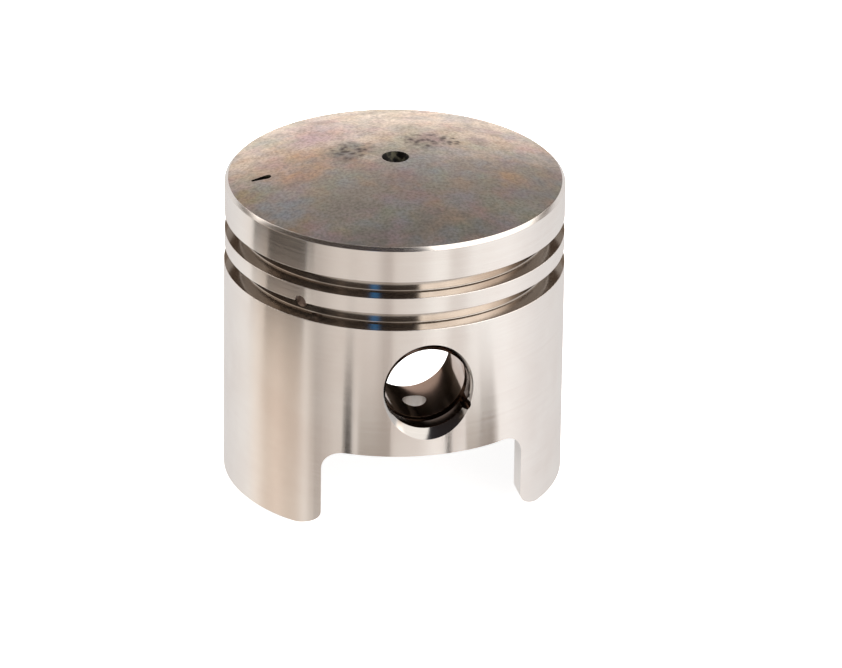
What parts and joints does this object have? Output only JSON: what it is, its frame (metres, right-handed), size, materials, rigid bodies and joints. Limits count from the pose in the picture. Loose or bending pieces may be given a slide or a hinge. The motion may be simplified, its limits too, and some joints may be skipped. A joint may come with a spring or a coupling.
{
  "type": "two-stroke engine piston",
  "caption": "Bare trunk piston with a shallow domed crown, ring grooves with locating pegs, a through pin bore and cut-away skirt.",
  "frame": {"origin": "where the gudgeon pin's axis crosses the cylinder's axis, midway between the bosses", "axes": "+Z along the cylinder's axis towards the crown, Y along the gudgeon pin, -X the side of the direction mark on the crown"},
  "size_m": [0.04, 0.04, 0.0396],
  "materials": {
    "piston_alloy": "satin",
    "peg_steel": "satin"
  },
  "bodies": {
    "root": {"piston_body": "piston_alloy", "upper_ring_peg": "peg_steel", "lower_ring_peg": "peg_steel"}
  },
  "joints": []
}
